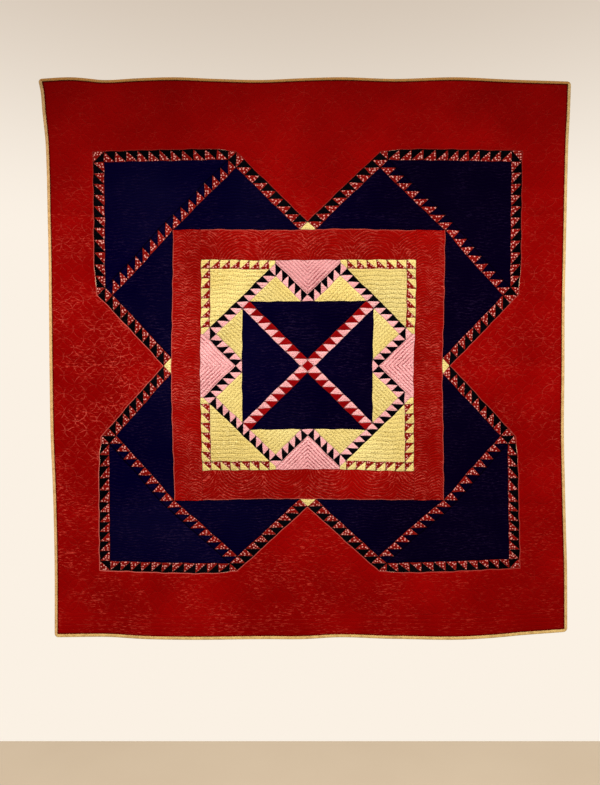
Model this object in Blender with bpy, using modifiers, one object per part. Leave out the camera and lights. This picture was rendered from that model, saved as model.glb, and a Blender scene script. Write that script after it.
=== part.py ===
"""A pieced and quilted cotton bedcover, hung flat by its top edge.

The quilt is one soft sheet: pieced top, thin filling and back are stitched through
into one body, and a narrow bound edge is folded round it. X runs across, Z up, and
the pieced side faces -Y. The origin is the middle of the top edge, on the plane
that the quilt hangs against (Y = 0). Metres.
"""

import math

import bmesh
import bpy
import numpy as np
from mathutils import Vector

MM = 0.001

# Where the middle of the pieced square lies below the top edge.
CENTRE_DROP = 1077 * MM

# The little squares of the crossed strips, the inner ring and the outer ring.
ROOT = math.sqrt(2.0)
CROSS_SQUARE = 38.8 * MM
SMALL_SQUARE = 34.5 * MM
LARGE_SQUARE = 42.4 * MM
CROSS_COUNT = 8

# How many of them a strip holds on its way to a peak of the ring.
INNER_COUNT = 4
OUTER_COUNT = 8

# Half sizes of the pieced squares, measured from the middle of the quilt.
CENTRE_SQUARE_HALF = (CROSS_COUNT + 1) * CROSS_SQUARE / ROOT
MEDALLION_HALF = CENTRE_SQUARE_HALF + (INNER_COUNT + 1) * SMALL_SQUARE / ROOT + SMALL_SQUARE
FRAME_HALF = (2 * OUTER_COUNT + 1) * LARGE_SQUARE / ROOT
RING_HALF = FRAME_HALF + (OUTER_COUNT + 1) * LARGE_SQUARE / ROOT + LARGE_SQUARE

# The sheet before it is stretched to its uneven outline, measured from the middle.
SHEET_HALF_WIDTH = 980 * MM
SHEET_TOP = 1077 * MM
SHEET_BOTTOM = -1037 * MM

# Thickness of the sheet between the stitching, along a seam, and at its edge.
LOFT = 6.0 * MM
SEAM_THICKNESS = 3.6 * MM
EDGE_THICKNESS = 3.4 * MM
SEAM_REACH = 26 * MM
EDGE_REACH = 40 * MM

# The bound edge: cloth thickness, how far it reaches in, and its gap to the sheet.
BINDING_THICKNESS = 0.9 * MM
BINDING_REACH = 9.0 * MM
GAP = 0.3 * MM
MITRE_GAP = 0.3 * MM
CORNER_RADIUS = 12 * MM

# How far the hem hangs off the wall, from which height down, and how much less at right.
HEM_STANDOFF = 20 * MM
LIFT_START = 250 * MM
RIGHT_START = 450 * MM
RIGHT_REACH = 500 * MM
RIGHT_SHARE = 0.3

# The slow waves in the hem: height, length and where a crest stands.
HEM_WAVE = 4.5 * MM
WAVE_LENGTH = 620 * MM
WAVE_CREST = 120 * MM

# The side edges, curling off the wall below the held top.
SIDE_LIFT = 5 * MM
SIDE_START = 800 * MM
SIDE_REACH = 180 * MM
HELD_REACH = 700 * MM

# Slow buckles all over: height, and two crossing waves as radians a metre across and up.
BUCKLE = 1.6 * MM
BUCKLE_WAVE = (9.1, 2.2)
CROSS_WAVE = (-1.4, 6.3)

# Creases where the quilt was folded: depth, width, and how they die out at the edges.
CREASE_DEPTH = 2.0 * MM
CREASE_REACH = 26 * MM
CREASE_HEIGHTS = (564 * MM, 0.0, -540 * MM)
CREASE_TOP_FADE = 200 * MM
CREASE_EDGE_FADE = 100 * MM

# Rows of the sheet's mesh: from one seam to the next, with the cells between them.
BANDS_ACROSS = (
    # inner edge, outer edge, cells
    (0.0, CENTRE_SQUARE_HALF, 6),
    (CENTRE_SQUARE_HALF, MEDALLION_HALF, 4),
    (MEDALLION_HALF, FRAME_HALF, 2),
    (FRAME_HALF, RING_HALF, 7),
)
BORDER_CELLS = {"side": 3, "top": 6, "bottom": 5}
EDGE_LINE = 4.5 * MM

# Where the uprights really run at each height, in mm from the middle of the quilt.
UPRIGHTS = (
    # height, then left edge, ring, frame, medallion; then medallion, frame, ring, right edge
    (1077, -1010, -806, -507, -402, 406, 519, 805, 986),
    (1035, -1001, -806, -507, -402, 406, 519, 805, 985),
    (966, -995, -806, -507, -402, 406, 519, 805, 983),
    (862, -984, -806, -507, -402, 406, 519, 805, 978),
    (754, -980, -806, -507, -402, 406, 519, 805, 975),
    (575, -977, -805, -507, -402, 406, 519, 804, 972),
    (420, -974, -805, -509, -402, 408, 518, 804, 970),
    (215, -974, -803, -513, -403, 408, 516, 803, 968),
    (0, -974, -797, -517, -407, 401, 511, 799, 969),
    (-269, -970, -790, -512, -402, 402, 514, 796, 969),
    (-483, -961, -789, -505, -397, 402, 516, 798, 974),
    (-667, -957, -788, -504, -397, 402, 516, 801, 978),
    (-851, -955, -787, -504, -397, 402, 516, 803, 983),
    (-1037, -956, -787, -504, -397, 402, 516, 803, 986),
)

# Where the level lines really run across the quilt, in mm from its middle.
LEVELS = (
    # across, then bottom edge, ring, frame, medallion; then medallion, frame, ring, top edge
    (-980, -1025, -773, -510, -396, 398, 512, 803, 1074),
    (-886, -1027, -774, -510, -396, 398, 512, 803, 1080),
    (-785, -1029, -775, -510, -396, 398, 512, 804, 1070),
    (-650, -1035, -778, -510, -396, 398, 512, 808, 1076),
    (-508, -1036, -781, -510, -396, 398, 512, 811, 1080),
    (-347, -1037, -785, -508, -395, 400, 514, 815, 1074),
    (-171, -1037, -786, -504, -394, 397, 512, 815, 1070),
    (-29, -1036, -786, -504, -391, 399, 513, 815, 1076),
    (113, -1027, -786, -505, -391, 400, 517, 815, 1080),
    (326, -1035, -784, -508, -398, 400, 512, 814, 1074),
    (543, -1039, -777, -508, -396, 398, 510, 812, 1080),
    (757, -1027, -767, -508, -396, 398, 509, 808, 1072),
    (870, -1018, -765, -508, -396, 398, 509, 807, 1068),
    (980, -1009, -764, -508, -396, 398, 509, 806, 1064),
)

TURKEY_RED = (0.26, 0.002, 0.004, 1.0)
STRAW_PRINT = (0.56, 0.38, 0.13, 1.0)


def smooth(at, stations, values):
    """A curve through the stations whose slope at each is that of its neighbours."""
    slopes = np.gradient(values, stations)
    at = np.clip(at, stations[0], stations[-1])
    left = np.clip(np.searchsorted(stations, at) - 1, 0, len(stations) - 2)
    width = stations[left + 1] - stations[left]
    s = (at - stations[left]) / width
    rise = s * s * (3 - 2 * s)
    start_bend = s * (1 - s) ** 2 * width * slopes[left]
    end_bend = s * s * (s - 1) * width * slopes[left + 1]
    return values[left] * (1 - rise) + values[left + 1] * rise + start_bend + end_bend


def table_columns(table):
    """The stations in rising order, and the other columns, in metres."""
    rows = np.array(sorted(table)) * MM
    return rows[:, 0], rows[:, 1:].T


def between_lines(value, lines, places):
    """Carry a coordinate from the even lines to the places where they really run."""
    result = places[0] + (value - lines[0])
    for k in range(len(lines) - 1):
        share = (value - lines[k]) / (lines[k + 1] - lines[k])
        inside = value >= lines[k]
        result = np.where(inside, places[k] + share * (places[k + 1] - places[k]), result)
    return np.where(value > lines[-1], places[-1] + (value - lines[-1]), result)


def flat_place(p, q):
    """The uneven place, across and up from the middle, of a point of the even sheet."""
    heights, uprights = table_columns(UPRIGHTS)
    across, levels = table_columns(LEVELS)
    columns = [smooth(q, heights, places) for places in uprights]
    rows = [smooth(p, across, places) for places in levels]
    columns.insert(len(columns) // 2, np.zeros_like(p))
    rows.insert(len(rows) // 2, np.zeros_like(q))
    seams = (-RING_HALF, -FRAME_HALF, -MEDALLION_HALF, 0.0, MEDALLION_HALF, FRAME_HALF, RING_HALF)
    p_lines = (-SHEET_HALF_WIDTH, *seams, SHEET_HALF_WIDTH)
    q_lines = (SHEET_BOTTOM, *seams, SHEET_TOP)
    return between_lines(p, p_lines, columns), between_lines(q, q_lines, rows)


def ease(value):
    """Rise from 0 to 1 with level ends."""
    value = np.clip(value, 0.0, 1.0)
    return value * value * (3 - 2 * value)


def standoff(p, q):
    """How far the sheet stands off the wall: flat above, and lifting to a wavy hem."""
    drop = ease((LIFT_START - q) / (LIFT_START - SHEET_BOTTOM))
    hem = HEM_STANDOFF * drop * (1.0 - RIGHT_SHARE * ease((p - RIGHT_START) / RIGHT_REACH))
    waves = HEM_WAVE * drop * drop * np.cos(2 * math.pi * (p - WAVE_CREST) / WAVE_LENGTH)
    hung = ease((SHEET_TOP - q) / HELD_REACH)
    sides = SIDE_LIFT * hung * ease((np.abs(p) - SIDE_START) / SIDE_REACH)
    wave = np.sin(BUCKLE_WAVE[0] * p + BUCKLE_WAVE[1] * q)
    crossing = np.cos(CROSS_WAVE[0] * p + CROSS_WAVE[1] * q)
    return hem + waves + sides + BUCKLE * hung * (1 + wave * crossing)


def creases(p, q):
    """Shallow grooves across the sheet where it was folded, and one down its middle."""
    depth = np.exp(-(p / CREASE_REACH) ** 2)
    for height in CREASE_HEIGHTS:
        depth = np.maximum(depth, np.exp(-((q - height) / CREASE_REACH) ** 2))
    return CREASE_DEPTH * depth * ease((SHEET_TOP - q) / CREASE_TOP_FADE)


def seam_distance(p, q):
    """Distance to the nearest main seam, folded into one eighth of the pieced square."""
    a = np.maximum(np.abs(p), np.abs(q))
    b = np.minimum(np.abs(p), np.abs(q))
    small_step = SMALL_SQUARE * ROOT
    large_step = LARGE_SQUARE * ROOT
    corner_sum = 2 * CENTRE_SQUARE_HALF - CROSS_SQUARE / ROOT
    ring_corner = RING_HALF - LARGE_SQUARE
    seams = (
        # distance, where that seam runs
        (np.abs(a - CENTRE_SQUARE_HALF), a < MEDALLION_HALF),
        (np.abs(a - MEDALLION_HALF), a < FRAME_HALF),
        (np.abs(a - FRAME_HALF), a < ring_corner),
        (np.abs(a - b) / ROOT, a < CENTRE_SQUARE_HALF),
        (np.abs(a + b - corner_sum - small_step / 2) / ROOT, a < MEDALLION_HALF),
        (np.abs(a - b - CENTRE_SQUARE_HALF) / ROOT, a + b < corner_sum + small_step),
        (np.abs(a + b - 2 * FRAME_HALF - large_step / 2) / ROOT,
         (a > FRAME_HALF) & (a < ring_corner)),
        (np.abs(a - b - FRAME_HALF) / ROOT,
         (a > FRAME_HALF) & (a + b < 2 * FRAME_HALF + large_step)),
        (np.abs(a - RING_HALF + LARGE_SQUARE / 2), a - b < FRAME_HALF + large_step),
    )
    nearest = np.full_like(a, SHEET_TOP)
    for distance, runs in seams:
        nearest = np.where(runs, np.minimum(nearest, distance), nearest)
    return nearest


def edge_distance(p, q):
    """Distance to the nearest edge of the even sheet."""
    sides = SHEET_HALF_WIDTH - np.abs(p)
    return np.minimum(sides, np.minimum(SHEET_TOP - q, q - SHEET_BOTTOM))


def thickness(p, q):
    """Full between seams, drawn in along them, and thin where the edge is bound."""
    drawn_in = np.exp(-(seam_distance(p, q) / SEAM_REACH) ** 2)
    body = LOFT - (LOFT - SEAM_THICKNESS) * drawn_in
    share = ease((edge_distance(p, q) - CORNER_RADIUS) / EDGE_REACH)
    return EDGE_THICKNESS + (body - EDGE_THICKNESS) * share


def middle_surface(p, q):
    """Points of the sheet's middle layer in the quilt's own frame."""
    x, z = flat_place(p, q)
    wall_clearance = EDGE_THICKNESS / 2 + GAP + BINDING_THICKNESS
    fade = ease(edge_distance(p, q) / CREASE_EDGE_FADE)
    away = wall_clearance + standoff(p, q) - creases(p, q) * fade
    return np.stack([x, -np.maximum(away, wall_clearance), z - CENTRE_DROP], axis=-1)


def corner_rounding(p, q):
    """Squares round each corner's centre become quarter circles, so corners are round."""
    a_side = np.abs(p) - (SHEET_HALF_WIDTH - CORNER_RADIUS)
    end = np.where(q > 0, SHEET_TOP, SHEET_BOTTOM)
    b_side = np.abs(q) - (np.abs(end) - CORNER_RADIUS)
    in_corner = (a_side > 0) & (b_side > 0)
    reach = np.maximum(a_side, b_side)
    steps = np.where(in_corner, reach, 1.0)
    angle = np.where(a_side > b_side, b_side / steps, 2.0 - a_side / steps) * math.pi / 4
    round_p = np.sign(p) * (SHEET_HALF_WIDTH - CORNER_RADIUS + reach * np.cos(angle))
    round_q = np.sign(q) * (np.abs(end) - CORNER_RADIUS + reach * np.sin(angle))
    return np.where(in_corner, round_p, p), np.where(in_corner, round_q, q)


def half_lines(border_end, border_cells):
    """Mesh lines from the middle outward to one edge, ending in the bound strip's lines."""
    lines = [0.0]
    bands = BANDS_ACROSS + ((RING_HALF, border_end - CORNER_RADIUS, border_cells),)
    for start, end, cells in bands:
        lines.extend(start + (end - start) * (k + 1) / cells for k in range(cells))
    return lines + [border_end - EDGE_LINE, border_end]


def mesh_lines():
    """All lines across and up."""
    side = half_lines(SHEET_HALF_WIDTH, BORDER_CELLS["side"])
    top = half_lines(SHEET_TOP, BORDER_CELLS["top"])
    bottom = half_lines(-SHEET_BOTTOM, BORDER_CELLS["bottom"])
    across = [-value for value in reversed(side[1:])] + side
    up = [-value for value in reversed(bottom[1:])] + top
    return np.array(across), np.array(up)


def fabric(name, colour, roughness):
    """A plain woven cotton."""
    material = bpy.data.materials.new(name)
    material.use_nodes = True
    shader = material.node_tree.nodes["Principled BSDF"]
    shader.inputs["Base Color"].default_value = colour
    shader.inputs["Roughness"].default_value = roughness
    shader.inputs["Metallic"].default_value = 0.0
    material.diffuse_color = colour
    return material


def add_object(name, mesh, material, collection):
    """One named sub-part with its own material."""
    mesh.materials.append(material)
    part = bpy.data.objects.new(name, mesh)
    collection.objects.link(part)
    return part


def quilted_sheet(collection):
    """A grid carried onto the hanging surface, thickened most between the seams."""
    across, up = mesh_lines()
    grid = bmesh.new()
    bmesh.ops.create_grid(grid, x_segments=len(across) - 1, y_segments=len(up) - 1, size=0.5)
    index = np.array([(vert.co.x + 0.5, vert.co.y + 0.5) for vert in grid.verts])
    column = np.rint(index[:, 0] * (len(across) - 1)).astype(int)
    row = np.rint(index[:, 1] * (len(up) - 1)).astype(int)
    p, q = corner_rounding(across[column], up[row])
    for vert, place in zip(grid.verts, middle_surface(p, q)):
        vert.co = Vector(place)
    mesh = bpy.data.meshes.new("quilted_sheet")
    grid.to_mesh(mesh)
    grid.free()

    sheet = add_object("quilted_sheet", mesh, fabric("turkey_red_cotton", TURKEY_RED, 0.8),
                       collection)
    loft = sheet.vertex_groups.new(name="loft")
    for number, share in enumerate(thickness(p, q) / LOFT):
        loft.add([number], float(share), "REPLACE")
    wall = sheet.modifiers.new("thickness", "SOLIDIFY")
    wall.thickness = LOFT
    wall.offset = 0.0
    wall.vertex_group = "loft"
    mesh.shade_smooth()
    return sheet


def edge_stations():
    """The edge of the even sheet, clockwise from the middle of the top left corner.

    Each station has the direction that points out of the sheet and the arc's share.
    """
    across, up = mesh_lines()
    inner_across = across[2:-2]
    inner_up = up[2:-2]
    turns = (0.0, EDGE_LINE / CORNER_RADIUS)
    side = SHEET_HALF_WIDTH - CORNER_RADIUS
    sides = (
        # name, straight stations, outward angle, corner before, corner after
        ("top", [(x, SHEET_TOP - CORNER_RADIUS) for x in inner_across], 90),
        ("right", [(side, z) for z in inner_up[::-1]], 0),
        ("bottom", [(x, SHEET_BOTTOM + CORNER_RADIUS) for x in inner_across[::-1]], -90),
        ("left", [(-side, z) for z in inner_up], 180),
    )
    strips = {}
    for name, centres, angle in sides:
        stations = [(centres[0], angle + 45 * (1 - turn)) for turn in turns]
        stations += [(centre, angle) for centre in centres]
        stations += [(centres[-1], angle - 45 * (1 - turn)) for turn in reversed(turns)]
        strips[name] = stations
    return strips


def binding_section(centre, angle):
    """The folded strip's outline at one station, from the wall side to the front.

    Each corner is a distance out from the corner circle's centre and a share of the
    sheet's thickness with an extra clearance.
    """
    direction = np.array([math.cos(math.radians(angle)), math.sin(math.radians(angle))])
    legs_end = CORNER_RADIUS - BINDING_REACH
    slot_end = CORNER_RADIUS + GAP
    outside = slot_end + BINDING_THICKNESS
    inner = EDGE_THICKNESS / 2 + GAP
    outer = inner + BINDING_THICKNESS
    soft = BINDING_THICKNESS
    corners = (
        # distance out, distance from the middle layer
        (legs_end, -inner),
        (slot_end, -inner),
        (slot_end, inner),
        (legs_end, inner),
        (legs_end, outer),
        (outside - soft, outer),
        (outside, outer - soft),
        (outside, soft - outer),
        (outside - soft, -outer),
        (legs_end, -outer),
    )
    points = []
    for out, height in corners:
        p, q = np.array([centre]).T + direction[:, None] * out
        base = middle_surface(p, q)[0]
        points.append(Vector(base) + Vector((0.0, -height, 0.0)))
    return points


def binding_strip(name, stations, collection):
    """A loft of the folded section along one edge, mitred at both corners."""
    sections = [binding_section(centre, angle) for centre, angle in stations]
    for first, second in ((0, 1), (-1, -2)):
        along = (sections[second][0] - sections[first][0]).normalized() * (MITRE_GAP / 2)
        sections[first] = [point + along for point in sections[first]]
    loft = bmesh.new()
    rings = [[loft.verts.new(point) for point in section] for section in sections]
    count = len(rings[0])
    for ring, following in zip(rings, rings[1:]):
        for k in range(count):
            after = (k + 1) % count
            loft.faces.new((ring[k], ring[after], following[after], following[k]))
    loft.faces.new(reversed(rings[0]))
    loft.faces.new(rings[-1])
    bmesh.ops.recalc_face_normals(loft, faces=loft.faces)
    mesh = bpy.data.meshes.new(name)
    loft.to_mesh(mesh)
    loft.free()
    strip = add_object(name, mesh, fabric(name + "_print", STRAW_PRINT, 0.75), collection)
    mesh.shade_smooth()
    mesh.set_sharp_from_angle(angle=math.radians(40))
    return strip


def main():
    """Clear the scene and build the quilt and its four bound edges."""
    for old in list(bpy.data.objects):
        bpy.data.objects.remove(old, do_unlink=True)
    quilt = bpy.data.collections.new("medallion_quilt")
    bpy.context.scene.collection.children.link(quilt)
    quilted_sheet(quilt)
    for side, stations in edge_stations().items():
        binding_strip("binding_" + side, stations, quilt)


main()
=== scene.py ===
import math

import bmesh
import bpy
import numpy as np
from mathutils import Euler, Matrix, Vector


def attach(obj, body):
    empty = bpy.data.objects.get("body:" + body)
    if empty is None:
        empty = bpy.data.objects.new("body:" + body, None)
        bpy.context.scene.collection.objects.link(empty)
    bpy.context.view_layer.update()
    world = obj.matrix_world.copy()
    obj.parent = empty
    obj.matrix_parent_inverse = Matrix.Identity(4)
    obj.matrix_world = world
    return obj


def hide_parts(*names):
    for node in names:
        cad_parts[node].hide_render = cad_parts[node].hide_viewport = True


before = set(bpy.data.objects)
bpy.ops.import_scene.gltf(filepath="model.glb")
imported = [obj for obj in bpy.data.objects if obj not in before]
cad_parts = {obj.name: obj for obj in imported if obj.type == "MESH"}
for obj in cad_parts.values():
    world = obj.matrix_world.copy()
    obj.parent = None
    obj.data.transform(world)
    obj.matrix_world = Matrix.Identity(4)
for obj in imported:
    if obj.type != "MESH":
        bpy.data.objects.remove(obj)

mm = 0.001
root2 = math.sqrt(2.0)
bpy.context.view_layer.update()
print("frame loaded")


# How the quilt hangs. All sizes in metres, places measured from the middle of the quilt.

sheetSize = {
    "drop": 1077 * mm,  # the middle lies this far under the held edge
    "halfWidth": 980 * mm,
    "top": 1077 * mm,
    "bottom": -1037 * mm,
    "cornerRadius": 12 * mm,
    "full": 6.0 * mm,  # thickness between the seams
    "atSeam": 3.6 * mm,
    "atEdge": 3.4 * mm,
    "seamReach": 26 * mm,
    "edgeReach": 40 * mm,
    "gap": 0.3 * mm,
    "bindingThickness": 0.9 * mm,
}

hang = {
    "hemStandoff": 20 * mm,  # how far the hem hangs off the wall
    "liftStart": 250 * mm,
    "rightStart": 450 * mm,
    "rightReach": 500 * mm,
    "rightShare": 0.3,
    "hemWave": 4.5 * mm,
    "waveLength": 620 * mm,
    "waveCrest": 120 * mm,
    "sideLift": 5 * mm,
    "sideStart": 800 * mm,
    "sideReach": 180 * mm,
    "heldReach": 700 * mm,
    "buckle": 1.6 * mm,
    "buckleWave": (9.1, 2.2),  # radians a metre, across and up
    "crossWave": (-1.4, 6.3),
    "creaseDepth": 2.0 * mm,
    "creaseReach": 26 * mm,
    "creaseHeights": (564 * mm, 0.0, -540 * mm),
    "creaseTopFade": 200 * mm,
    "creaseEdgeFade": 100 * mm,
}

piecing = {
    "crossSquare": 38.8 * mm,  # side of a little square in the crossed strips
    "smallSquare": 34.5 * mm,  # in the inner ring
    "largeSquare": 42.4 * mm,  # in the outer ring
    "crossCount": 8,
    "heartShare": 0.8,  # how much of the middle square is red
    "innerCount": 4,  # squares up to a peak of the ring
    "outerCount": 8,
    "innerRow": 6,  # squares along a row at the corner
    "outerRow": 11,
    "innerCorner": 9,  # squares along the slanting strip at a corner
    "outerCorner": 16,
}

crossHalf = piecing["crossSquare"] / root2
smallStep = piecing["smallSquare"] * root2
largeStep = piecing["largeSquare"] * root2
centreHalf = (piecing["crossCount"] + 1) * crossHalf
medallionHalf = centreHalf + (piecing["innerCount"] + 1) * smallStep / 2 + piecing["smallSquare"]
frameHalf = (2 * piecing["outerCount"] + 1) * largeStep / 2
ringHalf = frameHalf + (piecing["outerCount"] + 1) * largeStep / 2 + piecing["largeSquare"]

# Where the uprights really run at each height, in mm from the middle.
uprights = (
    # height, then left edge, ring, frame, medallion; then medallion, frame, ring, right edge
    (1077, -1010, -806, -507, -402, 406, 519, 805, 986),
    (1035, -1001, -806, -507, -402, 406, 519, 805, 985),
    (966, -995, -806, -507, -402, 406, 519, 805, 983),
    (862, -984, -806, -507, -402, 406, 519, 805, 978),
    (754, -980, -806, -507, -402, 406, 519, 805, 975),
    (575, -977, -805, -507, -402, 406, 519, 804, 972),
    (420, -974, -805, -509, -402, 408, 518, 804, 970),
    (215, -974, -803, -513, -403, 408, 516, 803, 968),
    (0, -974, -797, -517, -407, 401, 511, 799, 969),
    (-269, -970, -790, -512, -402, 402, 514, 796, 969),
    (-483, -961, -789, -505, -397, 402, 516, 798, 974),
    (-667, -957, -788, -504, -397, 402, 516, 801, 978),
    (-851, -955, -787, -504, -397, 402, 516, 803, 983),
    (-1037, -956, -787, -504, -397, 402, 516, 803, 986),
)

# Where the level lines really run across the quilt, in mm from its middle.
levels = (
    # across, then bottom edge, ring, frame, medallion; then medallion, frame, ring, top edge
    (-980, -1025, -773, -510, -396, 398, 512, 803, 1074),
    (-886, -1027, -774, -510, -396, 398, 512, 803, 1080),
    (-785, -1029, -775, -510, -396, 398, 512, 804, 1070),
    (-650, -1035, -778, -510, -396, 398, 512, 808, 1076),
    (-508, -1036, -781, -510, -396, 398, 512, 811, 1080),
    (-347, -1037, -785, -508, -395, 400, 514, 815, 1074),
    (-171, -1037, -786, -504, -394, 397, 512, 815, 1070),
    (-29, -1036, -786, -504, -391, 399, 513, 815, 1076),
    (113, -1027, -786, -505, -391, 400, 517, 815, 1080),
    (326, -1035, -784, -508, -398, 400, 512, 814, 1074),
    (543, -1039, -777, -508, -396, 398, 510, 812, 1080),
    (757, -1027, -767, -508, -396, 398, 509, 808, 1072),
    (870, -1018, -765, -508, -396, 398, 509, 807, 1068),
    (980, -1009, -764, -508, -396, 398, 509, 806, 1064),
)


def ease(value):
    # 3v^2 - 2v^3 of the value held between 0 and 1
    value = np.clip(value, 0.0, 1.0)
    return value * value * (3 - 2 * value)


def smoothCurve(at, stations, values):
    # a cubic between each two stations, its slope at a station that of the neighbours
    slopes = np.gradient(values, stations)
    at = np.clip(at, stations[0], stations[-1])
    left = np.clip(np.searchsorted(stations, at) - 1, 0, len(stations) - 2)
    width = stations[left + 1] - stations[left]
    s = (at - stations[left]) / width
    rise = s * s * (3 - 2 * s)
    bend = s * (1 - s) ** 2 * slopes[left] + s * s * (s - 1) * slopes[left + 1]
    return values[left] * (1 - rise) + values[left + 1] * rise + bend * width


def tableColumns(table):
    # stations in rising order and the other columns, in metres
    rows = np.array(sorted(table)) * mm
    return rows[:, 0], rows[:, 1:].T


def betweenLines(value, lines, places):
    # straight shares between the even lines, carried to where they really run
    result = places[0] + (value - lines[0])
    for k in range(len(lines) - 1):
        share = (value - lines[k]) / (lines[k + 1] - lines[k])
        result = np.where(value >= lines[k], places[k] + share * (places[k + 1] - places[k]), result)
    return np.where(value > lines[-1], places[-1] + (value - lines[-1]), result)


def flatPlace(p, q):
    # the uneven place, across and up, of a point p, q of the even layout
    heights, columns = tableColumns(uprights)
    across, rows = tableColumns(levels)
    columns = [smoothCurve(q, heights, places) for places in columns]
    rows = [smoothCurve(p, across, places) for places in rows]
    columns.insert(len(columns) // 2, np.zeros_like(p))
    rows.insert(len(rows) // 2, np.zeros_like(q))
    seams = (-ringHalf, -frameHalf, -medallionHalf, 0.0, medallionHalf, frameHalf, ringHalf)
    x = betweenLines(p, (-sheetSize["halfWidth"], *seams, sheetSize["halfWidth"]), columns)
    z = betweenLines(q, (sheetSize["bottom"], *seams, sheetSize["top"]), rows)
    return x, z


def standOff(p, q):
    # off the wall: eased lift to the hem + cosine hem waves + curled sides + crossing sine buckles
    drop = ease((hang["liftStart"] - q) / (hang["liftStart"] - sheetSize["bottom"]))
    right = ease((p - hang["rightStart"]) / hang["rightReach"])
    hem = hang["hemStandoff"] * drop * (1 - hang["rightShare"] * right)
    turn = 2 * math.pi * (p - hang["waveCrest"]) / hang["waveLength"]
    waves = hang["hemWave"] * drop * drop * np.cos(turn)
    hung = ease((sheetSize["top"] - q) / hang["heldReach"])
    sides = hang["sideLift"] * hung * ease((np.abs(p) - hang["sideStart"]) / hang["sideReach"])
    wave = np.sin(hang["buckleWave"][0] * p + hang["buckleWave"][1] * q)
    crossing = np.cos(hang["crossWave"][0] * p + hang["crossWave"][1] * q)
    return hem + waves + sides + hang["buckle"] * hung * (1 + wave * crossing)


def edgeDistance(p, q):
    # to the nearest edge of the even sheet
    sides = sheetSize["halfWidth"] - np.abs(p)
    return np.minimum(sides, np.minimum(sheetSize["top"] - q, q - sheetSize["bottom"]))


def creaseDepth(p, q):
    # bell-shaped grooves at the fold heights and down the middle, dying out at the edges
    depth = np.exp(-(p / hang["creaseReach"]) ** 2)
    for height in hang["creaseHeights"]:
        depth = np.maximum(depth, np.exp(-((q - height) / hang["creaseReach"]) ** 2))
    fade = ease((sheetSize["top"] - q) / hang["creaseTopFade"])
    return hang["creaseDepth"] * depth * fade * ease(edgeDistance(p, q) / hang["creaseEdgeFade"])


def mainSeamDistance(p, q):
    # to the nearest main seam, worked out in one eighth of the quilt
    a = np.maximum(np.abs(p), np.abs(q))
    b = np.minimum(np.abs(p), np.abs(q))
    cornerSum = 2 * centreHalf - crossHalf
    rowLine = ringHalf - piecing["largeSquare"]
    seams = (
        # distance, where that seam runs
        (np.abs(a - centreHalf), a < medallionHalf),
        (np.abs(a - medallionHalf), a < frameHalf),
        (np.abs(a - frameHalf), a < rowLine),
        (np.abs(a - b) / root2, a < centreHalf),
        (np.abs(a + b - cornerSum - smallStep / 2) / root2, a < medallionHalf),
        (np.abs(a - b - centreHalf) / root2, a + b < cornerSum + smallStep),
        (np.abs(a + b - 2 * frameHalf - largeStep / 2) / root2, (a > frameHalf) & (a < rowLine)),
        (np.abs(a - b - frameHalf) / root2, (a > frameHalf) & (a + b < 2 * frameHalf + largeStep)),
        (np.abs(a - ringHalf + piecing["largeSquare"] / 2), a - b < frameHalf + largeStep),
    )
    nearest = np.full_like(a, sheetSize["top"])
    for distance, runs in seams:
        nearest = np.where(runs, np.minimum(nearest, distance), nearest)
    return nearest


def thickness(p, q):
    # full between the main seams, a bell-shaped dip along them, thin at the bound edge
    drawnIn = np.exp(-(mainSeamDistance(p, q) / sheetSize["seamReach"]) ** 2)
    body = sheetSize["full"] - (sheetSize["full"] - sheetSize["atSeam"]) * drawnIn
    share = ease((edgeDistance(p, q) - sheetSize["cornerRadius"]) / sheetSize["edgeReach"])
    return sheetSize["atEdge"] + (body - sheetSize["atEdge"]) * share


def surfaceAt(p, q, inFront):
    # the hanging middle layer, moved inFront metres towards the viewer
    x, z = flatPlace(p, q)
    clearance = sheetSize["atEdge"] / 2 + sheetSize["gap"] + sheetSize["bindingThickness"]
    away = np.maximum(clearance + standOff(p, q) - creaseDepth(p, q), clearance)
    return np.stack([x, -away - inFront, z - sheetSize["drop"]], axis=-1)


def addMesh(name, points, faces, uvMaps=None, values=None):
    # one smooth mesh object from a point array and a face array
    mesh = bpy.data.meshes.new(name)
    mesh.vertices.add(len(points))
    mesh.vertices.foreach_set("co", points.astype(np.float32).ravel())
    sides = faces.shape[1]
    mesh.loops.add(faces.size)
    mesh.loops.foreach_set("vertex_index", faces.astype(np.int32).ravel())
    mesh.polygons.add(len(faces))
    mesh.polygons.foreach_set("loop_start", np.arange(0, faces.size, sides, dtype=np.int32))
    mesh.polygons.foreach_set("loop_total", np.full(len(faces), sides, dtype=np.int32))
    mesh.polygons.foreach_set("use_smooth", np.ones(len(faces), dtype=bool))
    for layer, places in (uvMaps or {}).items():
        uv = mesh.uv_layers.new(name=layer)
        uv.data.foreach_set("uv", places[faces.ravel()].astype(np.float32).ravel())
    for layer, numbers in (values or {}).items():
        attribute = mesh.attributes.new(layer, "FLOAT", "POINT")
        attribute.data.foreach_set("value", numbers.astype(np.float32))
    mesh.update(calc_edges=True)
    mesh.validate()
    piece = bpy.data.objects.new(name, mesh)
    bpy.context.scene.collection.objects.link(piece)
    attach(piece, "root")
    return piece


# The quilting: how deep the stitched lines lie, and their patterns.

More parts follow.
